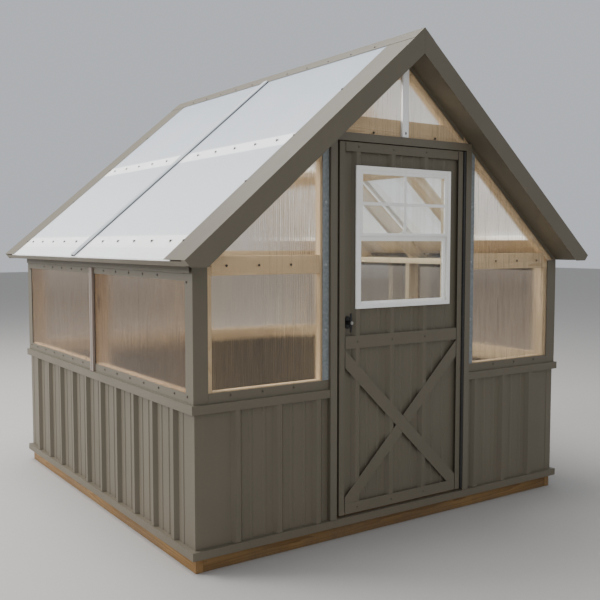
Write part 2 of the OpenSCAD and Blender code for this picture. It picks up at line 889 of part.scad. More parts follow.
// Trims over the jambs and the head, and the flashings beside them
module jamb_cover() {
    inner = 36;
    translate([0, 0, base_lip_z + steel_t + 0.5])
        linear_extrude(door_head_z - base_lip_z - steel_t - 1)
            bent([
                [-jamb_out_x + steel_t, -panel_in], [-jamb_out_x + steel_t, -jamb_out + steel_t],
                [-jamb_x, -jamb_out + steel_t], [-jamb_x, inner - jamb_out]
            ], -steel_t);
}
module head_cover() {
    intersection() {
        along_wall(-jamb_out_x, jamb_out_x)
            bent([
                [0.3, door_head_z + steel_t], [jamb_out - steel_t, door_head_z + steel_t],
                [jamb_out - steel_t, head_z1], [flange_in, head_z1 + 1]
            ], -steel_t);
        slab_xz(-60, 20) under_roof(-half_w, half_w, door_head_z - 10, soffit_t + 3);
    }
}
module jamb_flashing() {
    slab_xz(-flange_in - steel_t, -flange_in)
        under_roof(-jamb_out_x - 40, -jamb_out_x - 1.5, sill_lip_z + sill_flange + 1,
            soffit_t + rake_flange_w + fit);
}
module jamb_trims() {
    color(bronze)
        on_wall("front") {
            both_sides() {
                intersection() {
                    jamb_cover();
                    slab_xz(-60, 20) under_roof(-half_w, half_w, 0, soffit_t + 3);
                }
                jamb_flashing();
            }
            head_cover();
        }
}

// Timber core of the door: stiles, rails and the frame round the window cut-out
core_in = steel_t + 0.5;
module door_core() {
    x1 = door_x1 - core_in;
    z0 = door_z0 + core_in;
    z1 = door_z1 - core_in;
    stile_x = x1 - board_w;
    color(pine)
        translate([0, -half_d, 0])
            difference() {
                union() {
                    both_sides() box([-x1, core_y, z0], [-stile_x - fit, door_back - core_in, z1]);
                    for (z = [z0, mid_rail_z - 6, z1 - board_w])
                        box([-stile_x, core_y, z], [stile_x, door_back - core_in, z + board_w]);
                    both_sides()
                        box([-stile_x, core_y, mid_rail_z - 6 + board_w + fit],
                            [-cut_x - fit, door_back - core_in, z1 - board_w - fit]);
                    for (z = [win_z0 - 20, win_z1 - 10])
                        box([-cut_x, core_y, z], [cut_x, door_back - core_in, z + 30]);
                }
                translate([handle_x, core_y - 1, handle_z])
                    rotate([-90, 0, 0]) cylinder(r = spindle_r + 2, h = board_t + 2);
            }
}
// Ribbed skin of the door with the window cut-out
module door_skin() {
    first = door_x0 + door_rib_x;
    color(bronze)
        on_wall("front")
            difference() {
                translate([0, -skin_out, door_z0 + core_in])
                    linear_extrude(door_z1 - door_z0 - 2 * core_in)
                        ribbed(door_x0 + core_in, door_x1 - core_in,
                            [first, first + rib_pitch, first + 2 * rib_pitch]);
                box([-cut_x, -60, win_z0 + 10], [cut_x, 20, win_z1 - 10]);
                translate([handle_x, -1 - skin_out, handle_z])
                    rotate([-90, 0, 0]) cylinder(r = spindle_r + 2, h = 6, center = true);
            }
}
// Bent steel round the edges of the door
module door_edge_trims() {
    color(bronze)
        on_wall("front") {
            both_sides()
                translate([0, 0, door_z0])
                    linear_extrude(door_z1 - door_z0)
                        bent([
                            [door_x0 + steel_t, door_back], [door_x0 + steel_t, -door_out + steel_t],
                            [door_x0 + stile_w, -door_out + steel_t]
                        ], -steel_t);
        }
}
// Top, middle and bottom rails of the door, flat on the ribs
rail_x = door_x1 - stile_w - 4;
module door_rails() {
    color(bronze)
        on_wall("front")
            for (r = [
                [door_z0 + 0.5, low_rail_h], [mid_rail_z, rail_w],
                [door_z1 - top_rail_h, top_rail_h - 0.5]
            ])
                box([-rail_x, -door_out, r[0]], [rail_x, -door_out + steel_t, r[0] + r[1]]);
}
// Crossed brace strips: one runs through, the other is cut round it
brace_z0 = door_z0 + low_rail_h + 1;
brace_z1 = mid_rail_z - 1;
module brace_band(w) {
    rise = w * sqrt(1 + brace_slope * brace_slope);
    top = brace_z1 - 3;
    polygon([
        [-rail_x, top + (w - rail_w)], [rail_x, top + (w - rail_w) - 2 * rail_x * brace_slope],
        [rail_x, top + (w - rail_w) - 2 * rail_x * brace_slope - rise], [-rail_x, top + (w - rail_w) - rise]
    ]);
}
module brace_field() {
    translate([-rail_x, brace_z0]) square([2 * rail_x, brace_z1 - brace_z0]);
}
module door_braces() {
    color(bronze)
        on_wall("front")
            slab_xz(-door_out, -door_out + steel_t) {
                intersection() {
                    brace_field();
                    brace_band(rail_w);
                }
                difference() {
                    intersection() {
                        brace_field();
                        mirror([1, 0]) brace_band(rail_w);
                    }
                    brace_band(rail_w + 2);
                }
            }
}

// Long hinge in the gap beside the door: knuckles taken in turn by the two leaves
hinge_z0 = door_z0 + 5;
hinge_z1 = door_z1 - 5;
knuckle_h = (hinge_z1 - hinge_z0) / knuckles;
module knuckle_set(first, bore) {
    for (i = [first : 2 : knuckles - 1])
        translate([hinge_x, -hinge_out, hinge_z0 + i * knuckle_h + 0.25])
            difference() {
                cylinder(r = knuckle_r, h = knuckle_h - 0.5);
                translate([0, 0, -1]) cylinder(r = bore, h = knuckle_h + 2);
            }
}
module hinge_leaf(x0, x1, first) {
    box([x0, -hinge_out + knuckle_r + 0.5, hinge_z0], [x1, door_back - 8, hinge_z1]);
    for (i = [first : 2 : knuckles - 1])
        box([x0, -hinge_out, hinge_z0 + i * knuckle_h + 0.25],
            [x1, -hinge_out + knuckle_r + 1, hinge_z0 + (i + 1) * knuckle_h - 0.25]);
}
module hinge_frame_leaf() {
    color(black)
        on_wall("front") {
            hinge_leaf(gap_x - leaf_gap - leaf_t, gap_x - leaf_gap, 0);
            knuckle_set(0, pin_r + run_fit);
        }
}
module hinge_door_leaf() {
    color(black)
        on_wall("front") {
            hinge_leaf(door_x1 + leaf_gap, door_x1 + leaf_gap + leaf_t, 1);
            knuckle_set(1, pin_r + run_fit);
        }
}

// Pin through all the knuckles
module hinge_pin() {
    color(black)
        on_wall("front")
            translate([hinge_x, -hinge_out, hinge_z0])
                cylinder(r = pin_r, h = hinge_z1 - hinge_z0);
}

// White window frame: four mitred members with a flange over the cut-out and two stops
flange_w = 14;
flange_t = win_out - door_out + steel_t;
lip_w = 3;
lip_t = 1.5;
frame_d = 28;
module frame_section() {
    polygon([
        [0, 0], [frame_w + lip_w, 0], [frame_w + lip_w, lip_t], [frame_w, lip_t],
        [frame_w, frame_d - lip_t], [frame_w + lip_w, frame_d - lip_t],
        [frame_w + lip_w, frame_d], [flange_w, frame_d], [flange_w, flange_t], [0, flange_t]
    ]);
}
// Stretch of that section with mitred ends, as long as the side that it stands on
module frame_member(side) {
    intersection() {
        translate([0, -win_out, 0]) linear_extrude(side) frame_section();
        slab_xz(-win_out - 1, frame_d)
            polygon([
                [0, lay], [frame_w + 5, frame_w + 5 + lay],
                [frame_w + 5, side - frame_w - 5 - lay], [0, side - lay]
            ]);
    }
}
module window_frame() {
    color(white)
        on_wall("front") {
            both_sides() translate([-win_x, 0, win_z0]) frame_member(win_h);
            translate([win_x, 0, win_z0]) rotate([0, -90, 0]) frame_member(win_w);
            translate([-win_x, 0, win_z1]) rotate([0, 90, 0]) frame_member(win_w);
        }
}
// A sash: two stiles and two rails round the glass, from z0 to z1, its face at out
module sash(z0, z1, out, low_h, high_h) {
    box([-sash_x, -out, z0], [-sash_x + sash_w, -out + sash_t, z1]);
    box([sash_x - sash_w, -out, z0], [sash_x, -out + sash_t, z1]);
    box([-sash_x + sash_w + 0.2, -out, z0], [sash_x - sash_w - 0.2, -out + sash_t, z0 + low_h]);
    box([-sash_x + sash_w + 0.2, -out, z1 - high_h], [sash_x - sash_w - 0.2, -out + sash_t, z1]);
}
// The glass between the members of that sash
module pane(z0, z1, out, low_h, high_h) {
    box([-sash_x + sash_w + 0.2, -out + 4, z0 + low_h + 0.2],
        [sash_x - sash_w - 0.2, -out + 4 + glass_t, z1 - high_h - 0.2]);
}
// Fixed upper sash, with the keeper of the lock: two cheeks and a bridge over the cam
keeper_w = 28;
keeper_out = sash_out - 4 - glass_t - 0.3;
keeper_in = lower_out + 1.2;
module upper_sash() {
    top = low_z1 + lock_base + cam_h + 1;
    color(white)
        on_wall("front") {
            sash(up_z0, up_z1, sash_out, up_foot, up_head);
            both_sides()
                box([-keeper_w / 2, -keeper_out, low_z1 + lay],
                    [-keeper_w / 2 + 3, -keeper_in, top - lay]);
            box([-keeper_w / 2, -keeper_out, top], [keeper_w / 2, -keeper_in, top + 2]);
        }
}
module upper_glass() {
    color(glass) on_wall("front") pane(up_z0, up_z1, sash_out, up_foot, up_head);
}
// Crossed glazing bars on the face of the upper glass
module glazing_bars() {
    mid = (up_z0 + up_foot + up_z1 - up_head) / 2;
    color(white)
        on_wall("front") {
            box([-bar_w / 2, -sash_out + 1, up_z0 + up_foot + 0.4],
                [bar_w / 2, -sash_out + 3.8, up_z1 - up_head - 0.4]);
            both_sides()
                box([-sash_x + sash_w + 0.4, -sash_out + 1, mid - bar_w / 2],
                    [-bar_w / 2 - 0.2, -sash_out + 3.8, mid + bar_w / 2]);
        }
}
// Lower sash, which slides up behind the upper one, with the base of its lock
module lower_sash() {
    color(white)
        on_wall("front") {
            sash(low_z0, low_z1, lower_out, low_foot, low_head);
            box([-22, -lower_out + 2, low_z1 + lay], [22, -lower_out + sash_t, low_z1 + lock_base]);
        }
}
module lower_glass() {
    color(glass) on_wall("front") pane(low_z0, low_z1, lower_out, low_foot, low_head);
}
// Cam and lever of the sash lock, turned away from the keeper
lock_base = 3;
cam_h = 5;
cam_reach = 10.4;
lever_len = 26;
module sash_lock() {
    color(white)
        on_wall("front")
            translate([0, -lower_out + 7.6, low_z1 + lock_base + lay]) {
                cylinder(r = 5, h = cam_h);
                box([-3, 0, 0], [3, cam_reach, cam_h]);
                box([0, -2.5, cam_h], [lever_len, 2.5, cam_h + 3]);
            }
}

// Oval plate of the handle, on the flat of the skin
module handle_plate() {
    color(black)
        on_wall("front")
            translate([handle_x, -skin_out - steel_t, handle_z])
                rotate([90, 0, 0])
                    difference() {
                        linear_extrude(5)
                            hull() {
                                translate([0, 18]) circle(r = 14);
                                translate([0, -18]) circle(r = 14);
                            }
                        translate([0, 0, -1]) cylinder(r = spindle_r + run_fit, h = 8);
                    }
}
// T handle with its hub and the spindle through the door
grip_out = door_out + 10;
grip_r = 7;
arm_y = jamb_back + 0.8;
arm_len = 105;
arm_t = 5;
arm_w = 18;
plate_face = -skin_out - steel_t - 5;
module handle() {
    color(black)
        on_wall("front")
            translate([handle_x, 0, handle_z]) {
                translate([0, -grip_out, 0])
                    rotate([-90, 0, 0]) cylinder(r = spindle_r, h = grip_out + arm_y + arm_t);
                translate([0, plate_face - 0.3, 0])
                    rotate([90, 0, 0]) cylinder(r1 = 11, r2 = 8, h = grip_out + plate_face - 0.3);
                translate([0, -grip_out, 0])
                    hull()
                        for (m = [-1, 1]) {
                            translate([0, 0, m * (handle_len / 2 - 5)]) sphere(r = 5, $fn = 20);
                            translate([0, 0, m * 12]) sphere(r = grip_r, $fn = 20);
                        }
                translate([0, -grip_out - grip_r + 1, 0])
                    rotate([90, 0, 0]) cylinder(r = 6, h = 3);
            }
}
// Latch arm on the end of the spindle: it hangs when the door is free
module latch_arm() {
    color(black)
        on_wall("front")
            translate([handle_x, arm_y, handle_z])
                difference() {
                    box([-arm_w / 2, 0, -arm_len + arm_w / 2], [arm_w / 2, arm_t, arm_w / 2]);
                    rotate([-90, 0, 0])
                        translate([0, 0, -1]) cylinder(r = spindle_r + run_fit, h = arm_t + 2);
                }
}

base_boards_sides();
base_boards_ends();
bottom_plates();
corner_posts();
side_studs();
sill_rails();
top_plates();
front_girts();
back_girts();
back_stud();
door_posts();
door_header();
gable_rafters();
middle_rafters();
ridge_board();
purlins();
fly_rafters();
door_jambs();
door_stops();
door_seal();
door_threshold();
base_trims();
low_panel_left();
low_panel_right();
low_panel_back();
low_panels_front();
low_corner_trims();
sill_trims();
high_corner_trims();
side_sheets();
back_sheets();
front_sheets();
gable_sheets();
roof_sheets_left();
roof_sheets_right();
wall_channels();
roof_channels();
rake_trims();
rake_soffits();
ridge_cap();
eave_trims();
jamb_trims();
door_core();
door_skin();
door_edge_trims();
door_rails();
door_braces();
hinge_frame_leaf();
hinge_door_leaf();
hinge_pin();
window_frame();
upper_sash();
upper_glass();
glazing_bars();
lower_sash();
lower_glass();
sash_lock();
handle_plate();
handle();
latch_arm();
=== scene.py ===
# A small gable greenhouse: a timber frame on treated boards, ribbed steel to the sill,
# twin-wall glazing above it and a hinged door with a sliding sash window.
import json
import math
import random

import bmesh
import bpy
import numpy as np
from mathutils import Matrix, Vector
from mathutils.bvhtree import BVHTree


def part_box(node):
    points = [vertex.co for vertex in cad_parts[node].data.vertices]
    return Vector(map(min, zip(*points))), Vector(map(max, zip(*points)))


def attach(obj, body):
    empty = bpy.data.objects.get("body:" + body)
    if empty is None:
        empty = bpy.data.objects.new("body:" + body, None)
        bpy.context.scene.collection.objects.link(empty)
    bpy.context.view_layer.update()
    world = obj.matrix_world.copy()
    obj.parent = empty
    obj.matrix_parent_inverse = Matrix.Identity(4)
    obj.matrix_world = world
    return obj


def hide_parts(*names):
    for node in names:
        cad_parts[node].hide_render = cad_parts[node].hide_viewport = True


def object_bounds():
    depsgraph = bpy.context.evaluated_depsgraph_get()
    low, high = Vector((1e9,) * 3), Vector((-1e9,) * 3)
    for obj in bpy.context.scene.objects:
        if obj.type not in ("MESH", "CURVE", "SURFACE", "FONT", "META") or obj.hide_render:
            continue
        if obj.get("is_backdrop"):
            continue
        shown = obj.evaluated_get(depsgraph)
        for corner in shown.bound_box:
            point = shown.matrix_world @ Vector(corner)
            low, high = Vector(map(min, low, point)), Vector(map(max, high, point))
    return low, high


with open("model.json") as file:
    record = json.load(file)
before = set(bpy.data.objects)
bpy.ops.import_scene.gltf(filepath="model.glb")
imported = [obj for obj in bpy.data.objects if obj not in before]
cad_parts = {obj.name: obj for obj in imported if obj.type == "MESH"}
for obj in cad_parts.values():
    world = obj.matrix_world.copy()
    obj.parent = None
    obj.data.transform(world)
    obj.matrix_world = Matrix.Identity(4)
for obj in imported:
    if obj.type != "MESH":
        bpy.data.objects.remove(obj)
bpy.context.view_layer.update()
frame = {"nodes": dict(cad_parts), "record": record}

# Base boards: pressure-treated 2x4 laid on edge round the plan. Rough sawn and stained brown,
# greyed by splashed dirt near the ground, with the rings showing on the cut ends.
SAME_POINT = 2e-5
FLAT_TURN = 0.4
SHARP_TURN = 25.0
SMOOTH_TURN = 35.0
BOARD_EASE = 0.0016


def paint(red, green, blue):
    """A colour given as 0 to 255 steps, as the linear values that a shader takes."""
    steps = (red / 255, green / 255, blue / 255)
    return tuple(c / 12.92 if c <= 0.04045 else ((c + 0.055) / 1.055) ** 2.4 for c in steps) + (1.0,)


def feed(tree, node, inputs):
    """Gives each input of a node a plain value or another node's output."""
    for key, value in inputs.items():
        if isinstance(value, bpy.types.NodeSocket):
            tree.links.new(value, node.inputs[key])
        else:
            node.inputs[key].default_value = value


def add(tree, kind, inputs=None, **settings):
    """One shader node with its settings and its inputs."""
    made = tree.nodes.new(kind)
    for key, value in settings.items():
        setattr(made, key, value)
    feed(tree, made, inputs or {})
    return made


def calc(tree, operation, first, second=0.0, third=0.0):
    """The result of one sum on one or more values."""
    return add(tree, "ShaderNodeMath", {0: first, 1: second, 2: third}, operation=operation).outputs[0]


def spread(tree, value, low, high, out_low=0.0, out_high=1.0):
    """A value brought from one range to another and held there."""
    inputs = {0: value, 1: low, 2: high, 3: out_low, 4: out_high}
    return add(tree, "ShaderNodeMapRange", inputs).outputs[0]


def blend_colours(tree, amount, under, over):
    """Two colours mixed by a mask."""
    return add(tree, "ShaderNodeMix", {0: amount, 6: under, 7: over}, data_type="RGBA").outputs[2]


def stretched(tree, vector, scale):
    """A vector stretched for a pattern that runs one way."""
    return add(tree, "ShaderNodeMapping", {"Vector": vector, "Scale": scale}).outputs[0]


def mottle(tree, vector, size, detail=3.0, rough=0.55):
    """Soft noise with a value round one half."""
    inputs = {"Vector": vector, "Scale": size, "Detail": detail, "Roughness": rough}
    return add(tree, "ShaderNodeTexNoise", inputs).outputs[0]


def bump(tree, height, strength, distance):
    """Relief from a height, as a normal."""
    inputs = {"Height": height, "Strength": strength, "Distance": distance}
    return add(tree, "ShaderNodeBump", inputs).outputs[0]


def new_effect(name, inputs, outputs):
    """An empty shader node group with its named sockets."""
    tree = bpy.data.node_groups.new(name, "ShaderNodeTree")
    for way, sockets in (("INPUT", inputs), ("OUTPUT", outputs)):
        for label, kind in sockets:
            tree.interface.new_socket(name=label, in_out=way, socket_type="NodeSocket" + kind)
    given = add(tree, "NodeGroupInput").outputs
    result = add(tree, "NodeGroupOutput")
    return tree, given, result


def use_effect(tree, effect, inputs):
    """A node group placed in a material with its own values."""
    return add(tree, "ShaderNodeGroup", inputs, node_tree=effect).outputs


def new_finish(name):
    """A material with its tree and its shader, and the point's own place in metres."""
    material = bpy.data.materials.new(name)
    material.use_nodes = True
    tree = material.node_tree
    place = add(tree, "ShaderNodeTexCoord").outputs["Object"]
    return material, tree, tree.nodes["Principled BSDF"], place


# Sawn softwood: curved rings about a pith that lies outside the board, fine fibres along it
# and a few round knots. It reads the board's own "grain" coordinates, in metres.
wood, given, result = new_effect(
    "sawn_softwood",
    [("Grain", "Vector"), ("Ring gap", "Float")],
    [("Rings", "Float"), ("Fibres", "Float"), ("Knots", "Float"), ("Patches", "Float")],
)
sway = mottle(wood, stretched(wood, given["Grain"], (1.2, 9.0, 9.0)), 1.0)
shift = calc(wood, "MULTIPLY", calc(wood, "SUBTRACT", sway, 0.5), 0.020)
flat = add(wood, "ShaderNodeVectorMath", {0: given["Grain"], 1: (0.0, 1.0, 1.0)}, operation="MULTIPLY")
radius = add(wood, "ShaderNodeVectorMath", {0: flat.outputs[0]}, operation="LENGTH").outputs["Value"]
count = calc(wood, "DIVIDE", calc(wood, "ADD", radius, shift), given["Ring gap"])
ring = calc(wood, "POWER", calc(wood, "FRACT", count), 3.0)
fibre = mottle(wood, stretched(wood, given["Grain"], (9.0, 700.0, 700.0)), 1.0, 4.0, 0.65)
knot_place = stretched(wood, given["Grain"], (1.5, 9.0, 9.0))
knot_far = add(wood, "ShaderNodeTexVoronoi", {"Vector": knot_place, "Scale": 1.0}).outputs["Distance"]
knot = spread(wood, knot_far, 0.10, 0.055)
patch = mottle(wood, stretched(wood, given["Grain"], (2.0, 14.0, 14.0)), 1.0, 2.0)
feed(wood, result, {"Rings": ring, "Fibres": fibre, "Knots": knot, "Patches": patch})

# Weather and dust: a film that thickens towards the ground, faint rain runs down the faces
# and a broad mottle, from the object's own coordinates in metres.
weather, given, result = new_effect(
    "weather_and_dust",
    [("Place", "Vector"), ("Splash height", "Float")],
    [("Dust", "Float"), ("Runs", "Float"), ("Mottle", "Float"), ("Specks", "Float")],
)
broad = mottle(weather, given["Place"], 2.3, 4.0)
height = add(weather, "ShaderNodeSeparateXYZ", {0: given["Place"]}).outputs[2]
uneven = calc(weather, "MULTIPLY_ADD", broad, 0.5, calc(weather, "SUBTRACT", height, 0.25))
low = spread(weather, uneven, given["Splash height"], 0.0)
fine = mottle(weather, given["Place"], 90.0, 5.0, 0.7)
dust = calc(weather, "MULTIPLY", low, spread(weather, fine, 0.32, 0.62))
streaks = mottle(weather, stretched(weather, given["Place"], (38.0, 38.0, 0.8)), 1.0, 4.0)
runs = spread(weather, streaks, 0.45, 0.75)
specks = spread(weather, mottle(weather, given["Place"], 420.0, 2.0), 0.66, 0.74)
feed(weather, result, {"Dust": dust, "Runs": runs, "Mottle": broad, "Specks": specks})


def weathered(tree, place, splash_height=0.0):
    """The weather and dust masks at a place."""
    return use_effect(tree, weather, {"Place": place, "Splash height": splash_height})


def timber_finish(name, pale, ring_colour, knot_colour, grey, ring_gap, splash):
    """Bare or stained softwood, its tone shifted from board to board."""
    material, tree, shader, place = new_finish(name)
    grain = add(tree, "ShaderNodeAttribute", attribute_name="grain").outputs["Vector"]
    tone = add(tree, "ShaderNodeAttribute", attribute_name="tone").outputs["Fac"]
    cut = use_effect(tree, wood, {"Grain": grain, "Ring gap": ring_gap})
    worn = weathered(tree, place, splash)
    fibres = spread(tree, cut["Fibres"], 0.35, 0.75, 0.0, 0.35)
    colour = blend_colours(tree, calc(tree, "MULTIPLY_ADD", cut["Rings"], 0.55, fibres), pale, ring_colour)
    colour = blend_colours(tree, spread(tree, cut["Patches"], 0.4, 0.75, 0.0, 0.45), colour, ring_colour)
    colour = blend_colours(tree, calc(tree, "MULTIPLY", cut["Knots"], 0.8), colour, knot_colour)
    colour = blend_colours(tree, calc(tree, "MULTIPLY", worn["Runs"], 0.25), colour, grey)
    colour = blend_colours(tree, calc(tree, "MULTIPLY", worn["Dust"], 0.7), colour, grey)
    board_tone = spread(tree, tone, 0.0, 1.0, 0.8, 1.18)
    shade = add(tree, "ShaderNodeHueSaturation", {"Color": colour, "Value": board_tone})
    relief = calc(tree, "MULTIPLY_ADD", cut["Fibres"], 0.7, calc(tree, "MULTIPLY", cut["Rings"], -0.3))
    feed(tree, shader, {
        "Base Color": shade.outputs[0],
        "Roughness": spread(tree, cut["Fibres"], 0.3, 0.8, 0.62, 0.86),
        "Normal": bump(tree, relief, 0.5, 0.0012),
        "Specular IOR Level": 0.25,
    })
    return material


def solids_of(bm):
    """The separate solids of a mesh, each a list of faces joined by plain edges, in mesh order."""
    seen = set()
    for first in bm.faces:
        if first in seen:
            continue
        seen.add(first)
        solid = [first]
        for face in solid:
            for edge in face.edges:
                if len(edge.link_faces) == 2:
                    reached = [other for other in edge.link_faces if other not in seen]
                    seen.update(reached)
                    solid.extend(reached)
        yield solid


def eased_copy(node, ease):
    """A bmesh of a CAD node with its triangles joined and its broad edges eased by a radius."""
    bm = bmesh.new()
    bm.from_mesh(frame["nodes"][node].data)
    bmesh.ops.remove_doubles(bm, verts=bm.verts, dist=SAME_POINT)
    for solid in list(solids_of(bm)):
        bmesh.ops.split(bm, geom=solid)
    bmesh.ops.dissolve_limit(bm, angle_limit=math.radians(FLAT_TURN), verts=bm.verts, edges=bm.edges)
    shortest = 4 * ease
    narrowest = 2.6 * ease
    broad_edges = []
    for edge in bm.edges:
        if len(edge.link_faces) != 2 or edge.calc_length() < shortest:
            continue
        turned = math.degrees(edge.calc_face_angle(0.0))
        widths = [face.calc_area() / edge.calc_length() for face in edge.link_faces]
        if turned > SHARP_TURN and min(widths) > narrowest:
            broad_edges.append(edge)
    if broad_edges:
        bmesh.ops.bevel(bm, geom=broad_edges, offset=ease, offset_type="OFFSET", segments=2,
                        profile=0.5, affect="EDGES", material=-1, clamp_overlap=False)
    return bm


def make_piece(name, bm, material, body, stands_for=()):
    """A finished piece at the origin, riding on its body."""
    mesh = bpy.data.meshes.new(name)
    bm.to_mesh(mesh)
    bm.free()
    mesh.materials.append(material)
    for polygon in mesh.polygons:
        polygon.use_smooth = True
    mesh.set_sharp_from_angle(angle=math.radians(SMOOTH_TURN))
    piece = bpy.data.objects.new(name, mesh)
    bpy.context.scene.collection.objects.link(piece)
    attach(piece, body)
    if stands_for:
        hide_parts(*stands_for)
    return piece


def body_of_node(node):
    """The body that a CAD node belongs to."""
    return next(body for body, nodes in frame["record"]["behaviour"]["bodies"].items() if node in nodes)


def lay_grain(bm, seed):
    """Gives each board of a mesh its own grain line, pith and tone."""
    draw = random.Random(seed)
    grain = bm.verts.layers.float_vector.new("grain")
    tone = bm.verts.layers.float.new("tone")
    for solid in solids_of(bm):
        verts = list({vert for face in solid for vert in face.verts})
        verts.sort(key=lambda v: [round(c, 5) for c in v.co] + list(v.co))
        points = np.array([vert.co for vert in verts])
        middle = (points.max(0) + points.min(0)) / 2
        lines = np.linalg.svd(points - middle, full_matrices=False)[2]
        pith = np.array([draw.uniform(0, 9), draw.uniform(-0.05, 0.05), draw.uniform(0.03, 0.07)])
        lean = np.array([draw.uniform(-0.02, 0.02), draw.uniform(-0.02, 0.02)])
        shade = draw.random()
        for vert in verts:
            along, wide, thick = lines @ (np.array(vert.co) - middle)
            vert[grain] = Vector(pith + (along, wide + along * lean[0], thick + along * lean[1]))
            vert[tone] = shade


def set_boards(nodes, material):
    """Timber nodes as boards with eased arrises and their own grain."""
    for node in nodes:
        bm = eased_copy(node, BOARD_EASE)
        lay_grain(bm, node)
        make_piece(node + "_timber", bm, material, body_of_node(node), [node])


treated_timber = timber_finish(
    "treated_timber",
    pale=paint(154, 122, 80),
    ring_colour=paint(100, 70, 38),
    knot_colour=paint(58, 38, 20),
    grey=paint(110, 92, 72),
    ring_gap=0.0048,
    splash=0.07,
)
set_boards(["base_boards_sides", "base_boards_ends", "door_threshold"], treated_timber)

# Wall frame: bare 2x4 softwood, nailed up as plates, posts, studs, sill rails and girts.
# It is planed, pale and a little knotty, and shows through the glazing.
frame_timber = timber_finish(
    "frame_timber",
    pale=paint(228, 209, 176),
    ring_colour=paint(186, 161, 122),
    knot_colour=paint(110, 68, 34),
    grey=paint(184, 170, 146),
    ring_gap=0.0042,
    splash=0.0,
)
set_boards(
    ["bottom_plates", "corner_posts", "side_studs", "sill_rails", "top_plates", "front_girts", "back_girts",
     "back_stud", "door_posts", "door_header"],
    frame_timber,
)

# Roof frame: rafters cut to the slope, a ridge board, purlins laid on their flats and the fly
# rafters that carry the overhang at each gable, all of the same softwood.
set_boards(["gable_rafters", "middle_rafters", "ridge_board", "purlins", "fly_rafters"], frame_timber)

# Purlin tape: white foam strip stuck along the upper faces of the purlins, under the roof
# sheets. The pale bands over it are painted light in the roof sheets' own colour.
UPWARD = 0.6
EAVE_TAPE_Z = 1.503
MID_TAPE_Z = 1.997


def tape_finish(name):
    """White foam tape, a little soiled."""
    material, tree, shader, place = new_finish(name)
    spots = spread(tree, mottle(tree, place, 14.0, 3.0), 0.4, 0.75, 0.0, 0.5)
    look = blend_colours(tree, spots, paint(250, 250, 246), paint(226, 222, 212))
    feed(tree, shader, {"Base Color": look, "Roughness": 0.8})
    return material


purlins = bpy.data.objects["purlins_timber"].data
purlins.materials.append(tape_finish("white_tape"))
for polygon in purlins.polygons:
    if polygon.normal.z > UPWARD:
        polygon.material_index = 1

# Steel wall panels: thin ribbed sheet screwed to the plates and rails. Baked taupe paint, satin,
# with dust thrown up from the ground and faint rain runs.
TAUPE = paint(104, 97, 82)
STEEL_SPLASH = 0.30


def sheet_steel_finish(name, colour, dusty, rough):
    """Baked paint on thin steel: satin, a little uneven, with splashed dust near the ground."""
    material, tree, shader, place = new_finish(name)
    worn = weathered(tree, place, STEEL_SPLASH)
    shaded = tuple(c * 0.90 for c in colour[:3]) + (1.0,)
    look = blend_colours(tree, spread(tree, worn["Mottle"], 0.35, 0.7, 0.0, 0.6), colour, shaded)
    for mask, share in (("Runs", 0.04), ("Dust", 0.22), ("Specks", 0.12)):
        look = blend_colours(tree, calc(tree, "MULTIPLY", worn[mask], share), look, dusty)
    gloss = spread(tree, worn["Mottle"], 0.3, 0.7, rough - 0.05, rough + 0.07)
    waves = mottle(tree, place, 6.0, 1.0)
    peel = mottle(tree, place, 900.0, 2.0)
    feed(tree, shader, {
        "Base Color": look,
        "Roughness": calc(tree, "MULTIPLY_ADD", worn["Dust"], 0.2, gloss),
        "Normal": bump(tree, calc(tree, "MULTIPLY_ADD", peel, 0.012, waves), 0.16, 0.004),
        "Specular IOR Level": 0.4,
    })
    return material


def keep_cad_mesh(nodes, material):
    """Nodes that keep their CAD mesh and take a material."""
    for node in nodes:
        piece = frame["nodes"][node]
        piece.data.materials.clear()
        piece.data.materials.append(material)


painted_steel = sheet_steel_finish("painted_steel", TAUPE, paint(134, 118, 100), 0.42)
keep_cad_mesh(["low_panel_left", "low_panel_right", "low_panel_back", "low_panels_front"], painted_steel)

# Steel trims of the walls: the base lip, the corner angles and the sill cap, brake-folded from
# the same painted sheet and screwed over the panel edges.
keep_cad_mesh(["base_trims", "low_corner_trims", "sill_trims", "high_corner_trims"], painted_steel)

# Screws of the wall trims: hexagon heads on round washers, plated or painted, driven in level
# rows through the trims into the timber behind.
HALF_PLAN = 1.2192
RAY_START = 0.1
RAY_REACH = 0.2
WASHER = (14, 0.0105, 0.0090, -0.0003, 0.0018)
HEXAGON = (6, 0.0062, 0.0056, 0.0018, 0.0062)
TRIM_SCREW = 0.66
FACE_SCREW = 0.7
GIRT_SCREW = 0.6
RAIL_SCREW = 0.5
ROW_END = 1.041
ROW_PITCH = 0.1735
ROW = [-ROW_END + ROW_PITCH * n for n in range(13)]
JOINT_CLEARANCE = 0.05
OFF_JOINT = [place for place in ROW if abs(place) > JOINT_CLEARANCE]
FRONT_ROW = [side * place for side in (-1, 1) for place in (ROW_END, 0.868, 0.692)]
SILL_SCREW_Z = 0.803
CORNER_SCREW_Z = (0.806, 1.322)
CORNER_SCREW_IN = 0.047
front_wall = -HALF_PLAN - RAY_START
name_of_side = {-1: "left", 1: "right"}


def screw_finish(name, colour, worn_colour, metal):
    """Plated or painted screw heads, a little worn."""
    material, tree, shader, place = new_finish(name)
    spots = mottle(tree, place, 160.0, 3.0)
    feed(tree, shader, {
        "Base Color": blend_colours(tree, spread(tree, spots, 0.4, 0.7), colour, worn_colour),
        "Roughness": spread(tree, spots, 0.3, 0.7, 0.32, 0.5),
        "Metallic": metal,
    })
    return material


